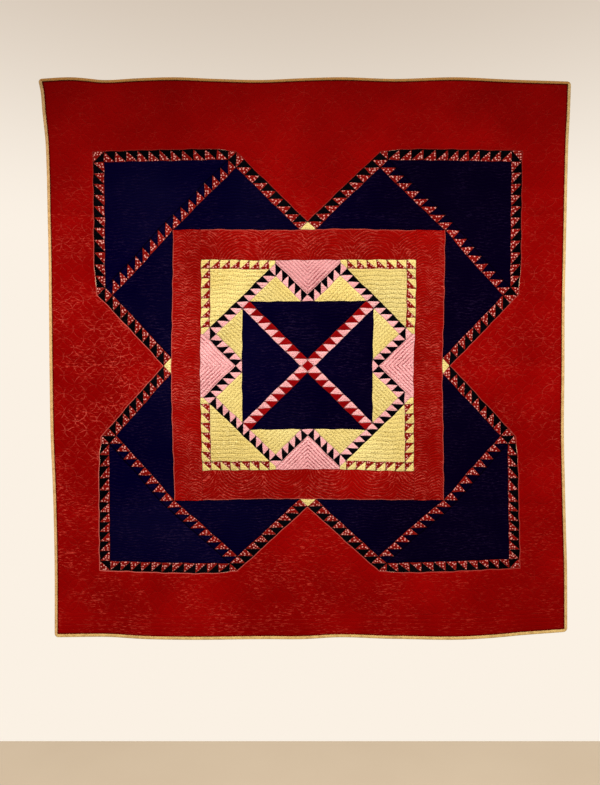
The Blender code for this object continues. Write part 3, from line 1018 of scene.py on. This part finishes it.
def noise(tree, vector, scale, detail):
    # cloudy values about one half
    return add(tree, "TexNoise", {"Vector": vector, "Scale": scale, "Detail": detail}, out="Fac")


def remap(tree, value, start, end, low=0.0, high=1.0, **settings):
    # low at start, high at end, straight between them and held beyond
    return add(tree, "MapRange", {"Value": value, "From Min": start, "From Max": end,
                                  "To Min": low, "To Max": high}, **settings)


def blend(tree, share, under, over):
    # the colour under at a share of 0, the colour over at 1
    return add(tree, "Mix", {0: share, 6: under, 7: over}, out=2, data_type="RGBA")


def emptyMaterial(name):
    # a new material and its node tree, with nothing in it yet
    material = bpy.data.materials.new(name)
    material.use_nodes = True
    material.node_tree.nodes.clear()
    return material, material.node_tree


weave = {
    "thread": 1.3 * mm,  # real thread spacing is 0.45 mm, drawn coarser so that it shows
    "height": 0.05 * mm,
    "stitch": 4.0 * mm,  # one stitch and its gap, as hand quilting has
    "grooveHeight": 0.5 * mm,
    "run": 22 * mm,  # a stitched line shows for about this long before the nap hides it
}

cloths = {
    # base and worn are the dye fresh and faded; line is the quilting thread's tint, with painted groove
    # shade on pale cloth and painted highlight on the red; seam is painted light on turned seam edges, a
    # highlight but shade on navy; the crown tint is painted light on pucker crowns, mostly highlights;
    # each has its strength;
    # faint is how much of a line still shows where it is hidden, and the least weight how strongly the
    # painted marks show along the top and the right side, where the light is weakest

    # turkey red: madder-dyed cotton, deep and warm, with painted pinkish highlights on its ridges
    "turkeyRed": {
        "base": "#580101", "worn": "#650202", "shine": 0.03, "pucker": 1.6 * mm, "print": None,
        "line": "#A84840", "lineMix": 0.62, "lineWidth": 1.8 * mm, "faint": 0.12,
        "seam": "#A65651", "seamEdgeLightMix": 0.62, "crownLight": "#AC3E34", "crownLightMix": 0.44, "upperRightWeight": 0.12,
    },
    "frameRed": {
        "base": "#580201", "worn": "#670302", "shine": 0.03, "pucker": 2.4 * mm, "print": None,
        "line": "#A84A42", "lineMix": 0.78, "lineWidth": 2.2 * mm, "faint": 0.22,
        "seam": "#A3564F", "seamEdgeLightMix": 0.55, "crownLight": "#A8483F", "crownLightMix": 0.55, "upperRightWeight": 0.45,
    },
    "crossRed": {
        "base": "#560204", "worn": "#670306", "shine": 0.03, "pucker": 1.4 * mm, "print": None,
        "line": "#560204", "lineMix": 0.0, "lineWidth": 2.0 * mm, "faint": 1.0,
        "seam": "#7B201C", "seamEdgeLightMix": 0.25, "crownLight": "#87201C", "crownLightMix": 0.4, "upperRightWeight": 0.7,
    },
    # indigo-dyed cotton, nearly black, with painted shade making it darker and less blue towards the
    # right
    "navy": {
        "shadedRight": "#020009",
        "base": "#010015", "worn": "#030218", "shine": 0.01, "pucker": 2.0 * mm, "print": None,
        "line": "#1E1428", "lineMix": 0.45, "lineWidth": 2.0 * mm, "faint": 0.3,
        "seam": "#010005", "seamEdgeLightMix": 0.85, "crownLight": "#1C1430", "crownLightMix": 0.42, "upperRightWeight": 0.5,
    },
    # black ground print, charcoal with hardly any shine
    "black": {
        "base": "#010103", "worn": "#040407", "shine": 0.008, "pucker": 1.4 * mm, "print": None,
        "line": "#0C0A10", "lineMix": 0.2, "lineWidth": 2.0 * mm, "faint": 1.0,
        "seam": "#080506", "seamEdgeLightMix": 0.3, "crownLight": "#131219", "crownLightMix": 0.35, "upperRightWeight": 0.7,
    },
    # pale yellow calico with small olive sprigs
    "yellow": {
        "base": "#9F925A", "worn": "#A89F6C", "shine": 0.08, "pucker": 3.6 * mm, "print": "sprigs",
        "ink": "#584911", "line": "#635316", "lineMix": 1.1, "lineWidth": 2.4 * mm, "faint": 0.5,
        "seam": "#BCB17E", "seamEdgeLightMix": 0.4, "crownLight": "#CCC494", "crownLightMix": 0.5, "upperRightWeight": 0.85,
    },
    # double pink: a fine rose print, drawn half as large again as it is so that it shows
    "pink": {
        "base": "#AA7D85", "worn": "#B48A92", "shine": 0.08, "pucker": 4.2 * mm, "print": "fine",
        "ink": "#84434F", "line": "#5F1D27", "lineMix": 1.7, "lineWidth": 3.4 * mm, "faint": 0.75,
        "seam": "#B99298", "seamEdgeLightMix": 0.3, "crownLight": "#CFB0B4", "crownLightMix": 0.6, "upperRightWeight": 0.85,
    },
    # turkey red with a pinkish white dot print
    "dotted": {
        "base": "#4F0504", "worn": "#5A0A08", "shine": 0.03, "pucker": 1.4 * mm, "print": "dots",
        "ink": "#B58684", "line": "#4F0504", "lineMix": 0.0, "lineWidth": 2.0 * mm, "faint": 1.0,
        "seam": "#772721", "seamEdgeLightMix": 0.35, "crownLight": "#7E231E", "crownLightMix": 0.3, "upperRightWeight": 0.7,
    },
    # unbleached cotton for the back
    "backCloth": {
        "base": "#C6BBA2", "worn": "#CEC4AE", "shine": 0.06, "pucker": 2.2 * mm, "print": None,
        "line": "#85795C", "lineMix": 0.85, "lineWidth": 2.6 * mm, "faint": 0.6,
        "seam": "#C6BBA2", "seamEdgeLightMix": 0.0, "crownLight": "#B4A88C", "crownLightMix": 0.3, "upperRightWeight": 1.0,
    },
}


def woven(tree, clothMap, detail):
    # height of the weave: threads across times threads along, a wave for each
    bands = []
    for direction in ("X", "Y"):
        bands.append(add(tree, "TexWave", {"Vector": clothMap, "Scale": math.pi / 10 / weave["thread"],
                                           "Distortion": 0.4, "Detail": detail}, out="Fac",
                         bands_direction=direction))
    return maths(tree, "MULTIPLY", maths(tree, "MULTIPLY", *bands), weave["height"])


def clothMaterial(name, cloth, pattern="rows", spacing=rowSpacing["none"], bordered=False):
    # plain-woven cotton: threads, print, fading, quilting stitches and seams, all on the cloth's own maps
    look = cloths[cloth]
    material, tree = emptyMaterial(name)
    clothMap = add(tree, "UVMap", uv_map="cloth")
    rowsMap = add(tree, "UVMap", uv_map="cloth" if pattern == "circles" else "rows")
    place = add(tree, "TexCoord", out="Object")

    # distance to the nearest stitched line, in metres
    across = coordinate(tree, rowsMap, 0)
    along = coordinate(tree, rowsMap, 1)
    if pattern == "rows":
        turns = maths(tree, "PINGPONG", across, 0.5)
        distance = maths(tree, "MULTIPLY", turns, spacing)
    elif pattern == "circles":
        turned = add(tree, "Mapping", {"Vector": rowsMap, "Location": (*quilting["circleStart"], 0),
                                       "Rotation": (0, 0, math.pi / 4),
                                       "Scale": (1 / quilting["circlePitch"],) * 3})
        cell = add(tree, "VectorMath", {0: turned}, operation="FRACTION")
        cell = add(tree, "VectorMath", {0: cell, 1: (0.5, 0.5, 0)}, operation="SUBTRACT")
        cell = add(tree, "VectorMath", {0: cell}, operation="ABSOLUTE")
        rings = []
        for corner in ((-0.5, 0.5, 0), (0.5, -0.5, 0)):
            ring = add(tree, "VectorMath", {0: cell, 1: corner}, out="Value", operation="DISTANCE")
            ring = maths(tree, "SUBTRACT", ring, 1 / root2)
            rings.append(maths(tree, "ABSOLUTE", ring))
        nearest = maths(tree, "MINIMUM", rings[0], rings[1])
        distance = maths(tree, "MULTIPLY", nearest, quilting["circlePitch"])
    else:
        width = quilting["sideFan"] if pattern == "stacks" else quilting["longFan"]
        share = maths(tree, "MULTIPLY", across, 1 / width)
        share = maths(tree, "FRACT", share)
        share = maths(tree, "SUBTRACT", share, 0.5)
        x = maths(tree, "MULTIPLY", share, width)
        squared = maths(tree, "POWER", x, 2.0)
        if pattern == "stacks":
            left = maths(tree, "SUBTRACT", border["stackRise"] ** 2, squared)
            arch = maths(tree, "SQRT", left)
            reach = maths(tree, "SUBTRACT", along, arch)
        else:
            upSquared = maths(tree, "POWER", along, 2.0)
            both = maths(tree, "ADD", squared, upSquared)
            reach = maths(tree, "SQRT", both)
        turns = maths(tree, "MULTIPLY", reach, 1 / quilting["fanSpacing"])
        turns = maths(tree, "PINGPONG", turns, 0.5)
        distance = maths(tree, "MULTIPLY", turns, quilting["fanSpacing"])
    if bordered:
        fromHem = stored(tree, "fromHem")
        hemTurns = maths(tree, "MULTIPLY", fromHem, 1 / quilting["hemRows"])
        hemTurns = maths(tree, "PINGPONG", hemTurns, 0.5)
        hemGap = maths(tree, "MULTIPLY", hemTurns, quilting["hemRows"])
        inBand = maths(tree, "LESS_THAN", fromHem, quilting["hemBand"])
        distance = add(tree, "Mix", {0: inBand, 2: distance, 3: hemGap}, data_type="FLOAT")
    line = remap(tree, distance, 0.0, look["lineWidth"], 1.0, 0.0, interpolation_type="SMOOTHSTEP")

    # slow fading over the whole quilt, and each patch a little lighter or darker
    fading = noise(tree, place, 3.2, 3.0)
    fading = remap(tree, fading, 0.38, 0.68)
    shade = stored(tree, "shade")
    shade = remap(tree, shade, -2.5, 2.5, 0.82, 1.14)
    colour = blend(tree, fading, toLinear(look["base"]), toLinear(look["worn"]))
    colour = add(tree, "VectorMath", {0: colour, "Scale": shade}, operation="SCALE")
    # painted shade: the navy darkens towards the right
    if "shadedRight" in look:
        rightShade = coordinate(tree, place, 0)
        rightShade = remap(tree, rightShade, -0.25, 0.35, 0.0, 0.75)
        colour = blend(tree, rightShade, colour, toLinear(look["shadedRight"]))

    # level puckers between the stitches, crowded along the old folds; their crowns carry painted light,
    # mostly highlights
    height = coordinate(tree, place, 2)
    folds = []
    for fold in hang["creaseHeights"]:
        off = maths(tree, "ADD", height, sheetSize["drop"] - fold)
        off = maths(tree, "ABSOLUTE", off)
        folds.append(remap(tree, off, 4 * mm, 26 * mm, 1.0, 0.0))
    folded = maths(tree, "MAXIMUM", folds[0], folds[1])
    folded = maths(tree, "MAXIMUM", folded, folds[2])
    # a weight, highest at the left and lower down and lowest along the top and the right side, where the
    # light is weakest: it sets how strongly the painted highlights, painted groove shade and painted
    # seam-edge light show, and how full the puckers rise
    down = remap(tree, height, -0.35, -0.95)
    sideways = coordinate(tree, place, 0)
    sideways = remap(tree, sideways, 0.75, -0.65, 0.3)
    lowerLeftWeight = maths(tree, "MULTIPLY", down, sideways)
    lowerLeftWeight = remap(tree, lowerLeftWeight, 0.0, 1.0, look["upperRightWeight"])
    stretched = add(tree, "Mapping", {"Vector": place, "Scale": (58.0, 58.0, 300.0)})
    puckers = add(tree, "TexNoise", {"Vector": stretched, "Scale": 1.0, "Detail": 2.5,
                                     "Roughness": 0.55}, out="Fac")
    # painted light on the pucker crowns, mostly highlights, crowded along the old folds
    crownLights = remap(tree, puckers, 0.57, 0.67, 0.0, look["crownLightMix"])
    patchy = noise(tree, place, 9.0, 3.0)
    patchy = remap(tree, patchy, 0.38, 0.62)
    crowded = maths(tree, "MAXIMUM", patchy, folded)
    crownLights = maths(tree, "MULTIPLY", crownLights, crowded)
    crownLights = maths(tree, "MULTIPLY", crownLights, lowerLeftWeight)
    colour = blend(tree, crownLights, colour, toLinear(look["crownLight"]))

    # the print
    if look["print"]:
        size = {"dots": 11.5 * mm, "sprigs": 8.5 * mm, "fine": 5.0 * mm}[look["print"]]
        radius = {"dots": 0.17, "sprigs": 0.15, "fine": 0.25}[look["print"]]
        ragged = add(tree, "TexNoise", {"Vector": clothMap, "Scale": 2.2 / size, "Detail": 1.0},
                     out="Color")
        ragged = add(tree, "VectorMath", {0: ragged, "Scale": size * 0.5}, operation="SCALE")
        printed = add(tree, "VectorMath", {0: clothMap, 1: ragged}, operation="ADD")
        spots = add(tree, "TexVoronoi", {"Vector": printed, "Scale": 1 / size, "Randomness": 0.7},
                    out="Distance", voronoi_dimensions="2D")
        spots = remap(tree, spots, radius, radius + 0.1, 0.72, 0.0)
        colour = blend(tree, spots, colour, toLinear(look["ink"]))

    # quilting stitches, broken where the thread dives; their tint also paints shade into the grooves of
    # pale cloth and highlights on the red
    stitch = noise(tree, clothMap, 1 / weave["stitch"], 0.0)
    stitch = remap(tree, stitch, 0.42, 0.52, 0.25)
    uneven = remap(tree, patchy, 0.0, 1.0, 0.25)
    broken = noise(tree, clothMap, 1 / weave["run"], 1.5)
    broken = remap(tree, broken, 0.46, 0.58, look["faint"])
    threadAndPaintedLight = maths(tree, "MULTIPLY", line, stitch)
    threadAndPaintedLight = maths(tree, "MULTIPLY", threadAndPaintedLight, broken)
    threadAndPaintedLight = maths(tree, "MULTIPLY", threadAndPaintedLight, uneven)
    threadAndPaintedLight = maths(tree, "MULTIPLY", threadAndPaintedLight, look["lineMix"])
    threadAndPaintedLight = maths(tree, "MULTIPLY", threadAndPaintedLight, lowerLeftWeight)
    if bordered:
        # the lines sink out of sight in the puckered foot of the border
        clear = remap(tree, height, -1.65, -1.35, 0.2)
        threadAndPaintedLight = maths(tree, "MULTIPLY", threadAndPaintedLight, clear)
    colour = blend(tree, threadAndPaintedLight, colour, toLinear(look["line"]))

    # seams: painted light on the turned edge, a highlight on most cloths and shade on navy, and painted
    # shade in the slot right at the join
    edge = stored(tree, "hairline")
    turned = remap(tree, edge, 1.2 * mm, 3.6 * mm, look["seamEdgeLightMix"], 0.0)
    turned = maths(tree, "MULTIPLY", turned, lowerLeftWeight)
    colour = blend(tree, turned, colour, toLinear(look["seam"]))
    gap = stored(tree, "seamGap")
    slot = remap(tree, gap, 0.2 * mm, 1.3 * mm, 0.3)
    if bordered:
        # painted shade beside the binding's foot, along the border's bound edge
        fromEdge = stored(tree, "fromEdge")
        under = remap(tree, fromEdge, 10 * mm, 15 * mm, 0.3)
        slot = maths(tree, "MINIMUM", slot, under)
    colour = add(tree, "VectorMath", {0: colour, "Scale": slot}, operation="SCALE")

    # relief: threads and puckers up, stitched lines down, less where the filling is worn flat
    relief = woven(tree, clothMap, 1.0)
    flattened = remap(tree, broken, 0.0, 1.0, 0.35)
    sunk = maths(tree, "MULTIPLY", line, flattened)
    sunk = maths(tree, "MULTIPLY", sunk, -weave["grooveHeight"])
    relief = maths(tree, "ADD", relief, sunk)
    fullness = maths(tree, "MULTIPLY", crowded, lowerLeftWeight)
    fullness = remap(tree, fullness, 0.0, 1.0, 0.5 * look["pucker"], 1.2 * look["pucker"])
    raised = maths(tree, "MULTIPLY", puckers, fullness)
    relief = maths(tree, "ADD", relief, raised)
    normal = add(tree, "Bump", {"Height": relief, "Distance": 1.0, "Strength": 1.0})
    shader = add(tree, "BsdfPrincipled", {
        "Base Color": colour, "Roughness": 0.86, "Normal": normal, "IOR": 1.46,
        "Specular IOR Level": look["shine"], "Specular Tint": toLinear(look["worn"]),
        "Sheen Weight": look["shine"], "Sheen Roughness": 0.5, "Sheen Tint": toLinear(look["crownLight"]),
    })
    add(tree, "OutputMaterial", {"Surface": shader}, out=slice(0))
    return material


finishes = {
    "crossRed": ("crossRed", "rows", rowSpacing["none"]),
    "crossPink": ("pink", "rows", rowSpacing["none"]),
    "navyCentre": ("navy", "rows", quilting["navyRows"]),
    "navyFields": ("navy", "rows", quilting["navyRows"]),
    "navyCorners": ("navy", "rows", quilting["navyRows"]),
    "navyTeeth": ("navy", "rows", rowSpacing["none"]),
    "blackTeeth": ("black", "rows", rowSpacing["none"]),
    "dotTeeth": ("dotted", "rows", rowSpacing["none"]),
    "pinkTeeth": ("pink", "rows", rowSpacing["none"]),
    "pinkPoints": ("pink", "rows", quilting["pinkRows"]),
    "yellowTeeth": ("yellow", "rows", rowSpacing["none"]),
    "yellowFields": ("yellow", "rows", quilting["yellowRows"]),
    "yellowCorners": ("yellow", "rows", quilting["cornerRows"]),
}

for name, piece in sewn.items():
    piece.data.materials.append(clothMaterial(name + "Cotton", *finishes[name]))
for piece, name, pattern in ((frameSides, "frameSidesCotton", "stacks"),
                             (frameLevels, "frameLevelsCotton", "fans")):
    piece.data.materials.append(clothMaterial(name, "frameRed", pattern))
borderCotton = clothMaterial("borderCotton", "turkeyRed", "circles", bordered=True)
for piece in borders.values():
    piece.data.materials.append(borderCotton)
sheet.data.materials.append(clothMaterial("backCotton", "backCloth", "circles"))


bindingColoursLitBySide = {
    # straw cotton, one copy for each side with painted light: shaded darker and browner along the top,
    # paler at the sides and bottom
    "top": "#8A622E",
    "right": "#9C855A",
    "bottom": "#A08A58",
    "left": "#9C8058",
    "blotch": "#795E34",
    "sprig": "#513C1C",
    "hemThread": "#62361F",
}


def bindingMaterial(side):
    # straw-coloured printed cotton, folded: small tan sprigs, and a row of hem stitches on its leg
    material, tree = emptyMaterial(side + "BindingCotton")
    clothMap = add(tree, "UVMap", uv_map="cloth")
    place = add(tree, "TexCoord", out="Object")
    blotches = noise(tree, place, 60.0, 2.0)
    blotches = remap(tree, blotches, 0.42, 0.66, 0.0, 0.55)
    # each side's straw colour has its painted light in it
    colour = blend(tree, blotches, toLinear(bindingColoursLitBySide[side]), toLinear(bindingColoursLitBySide["blotch"]))
    sprigs = add(tree, "TexVoronoi", {"Vector": clothMap, "Scale": 1 / binding["sprigPitch"]},
                 out="Distance", voronoi_dimensions="2D")
    sprigs = remap(tree, sprigs, 0.16, 0.28, 0.7, 0.0)
    colour = blend(tree, sprigs, colour, toLinear(bindingColoursLitBySide["sprig"]))
    along = coordinate(tree, clothMap, 0)
    dash = maths(tree, "MULTIPLY", along, 1 / binding["stitchPitch"])
    dash = maths(tree, "PINGPONG", dash, 0.5)
    dash = maths(tree, "LESS_THAN", dash, 0.2)
    fromLeg = stored(tree, "fromLeg")
    onLeg = remap(tree, fromLeg, 0.4 * mm, 1.4 * mm, 0.6, 0.0)
    hem = maths(tree, "MULTIPLY", dash, onLeg)
    colour = blend(tree, hem, colour, toLinear(bindingColoursLitBySide["hemThread"]))
    relief = woven(tree, clothMap, 2.0)
    dent = maths(tree, "MULTIPLY", hem, -0.3 * mm)
    relief = maths(tree, "ADD", relief, dent)
    normal = add(tree, "Bump", {"Height": relief, "Distance": 1.0, "Strength": 0.9})
    shader = add(tree, "BsdfPrincipled", {
        "Base Color": colour, "Roughness": 0.84, "Normal": normal, "IOR": 1.46,
        "Specular IOR Level": 0.25, "Sheen Weight": 0.12, "Sheen Roughness": 0.45,
    })
    add(tree, "OutputMaterial", {"Surface": shader}, out=slice(0))
    return material


for side, piece in bindings.items():
    piece.data.materials.append(bindingMaterial(side))
print("cloth dyed and printed")


# The room: a pale floor, soft light from above the viewer, and the camera.

studio = {
    "floorHeight": -2.60,
    "floorColour": "#8E877D",
    "floorPatches": "#857D72",
    "background": "#FBF1E4",
    "backgroundHigh": "#CDBDAC",
    "cameraPlace": (-0.029, -2.155, -1.129),
    "cameraPitch": 1.3,  # degrees downwards
    "lens": 36 * 567 / 600,  # focal length in mm for a 36 mm wide picture
}


def paleFloor():
    # a flat grid from just behind the quilt towards the viewer
    x, y = np.meshgrid(np.linspace(-2.4, 2.4, 5), np.linspace(-3.4, 0.12, 5), indexing="ij")
    points = np.stack([x.ravel(), y.ravel(), np.full(x.size, studio["floorHeight"])], axis=-1)
    mesh = bpy.data.meshes.new("paleFloor")
    faces = gridFaces(5, 5)[:, ::-1]
    mesh.from_pydata(points.tolist(), [], faces.tolist())
    floor = bpy.data.objects.new("paleFloor", mesh)
    bpy.context.scene.collection.objects.link(floor)
    material, tree = emptyMaterial("paintedFloor")
    place = add(tree, "TexCoord", out="Object")
    cloud = noise(tree, place, 2.0, 3.0)
    colour = blend(tree, cloud, toLinear(studio["floorColour"]), toLinear(studio["floorPatches"]))
    shader = add(tree, "BsdfPrincipled", {"Base Color": colour, "Roughness": 0.7})
    add(tree, "OutputMaterial", {"Surface": shader}, out=slice(0))
    mesh.materials.append(material)


def addLight(name, kind, place, aim, power, colour, **settings):
    # a lamp that looks from one point at another
    lamp = bpy.data.lights.new(name, kind)
    lamp.energy = power
    lamp.color = toLinear(colour)[:3]
    for setting, value in settings.items():
        setattr(lamp, setting, value)
    holder = bpy.data.objects.new(name, lamp)
    bpy.context.scene.collection.objects.link(holder)
    holder.location = place
    way = Vector(aim) - Vector(place)
    holder.rotation_euler = way.to_track_quat("-Z", "Y").to_euler()


paleFloor()
world = bpy.data.worlds.new("paleRoom")
bpy.context.scene.world = world
world.use_nodes = True
# the room pales downwards: a smooth step over the height of the way looked in
room = world.node_tree
wayUp = coordinate(room, add(room, "TexCoord", out="Generated"), 2)
wayUp = remap(room, wayUp, 0.22, 0.66, interpolation_type="SMOOTHSTEP")
roomColour = blend(room, wayUp, toLinear(studio["background"]), toLinear(studio["backgroundHigh"]))
room.links.new(roomColour, room.nodes["Background"].inputs["Color"])
room.nodes["Background"].inputs["Strength"].default_value = 1.0
# even light that grazes the cloth from above, as gallery lamps do, and a low soft fill
addLight("highLamp", "SPOT", (0.1, -4.0, 4.4), (0.0, 0, -7.6), 5450, "#FFF1DC",
         shadow_soft_size=0.35, spot_size=math.radians(47.0), spot_blend=0.15)
bpy.data.objects["highLamp"].scale.x = 2.3  # a beam wider than it is high, its upper edge on the quilt
addLight("lowFill", "AREA", (0.2, -2.6, -1.7), (0, 0, -1.4), 10, "#FFF8F0", size=1.6)
bpy.context.scene.view_settings.view_transform = "Standard"

camera = bpy.data.objects.new("camera", bpy.data.cameras.new("camera"))
bpy.context.scene.collection.objects.link(camera)
camera.data.sensor_fit = "HORIZONTAL"
camera.data.sensor_width = 36.0
camera.data.lens = studio["lens"]
camera.location = studio["cameraPlace"]
camera.rotation_euler = Euler((math.radians(90 - studio["cameraPitch"]), 0, 0))
bpy.context.scene.camera = camera
print("studio set")
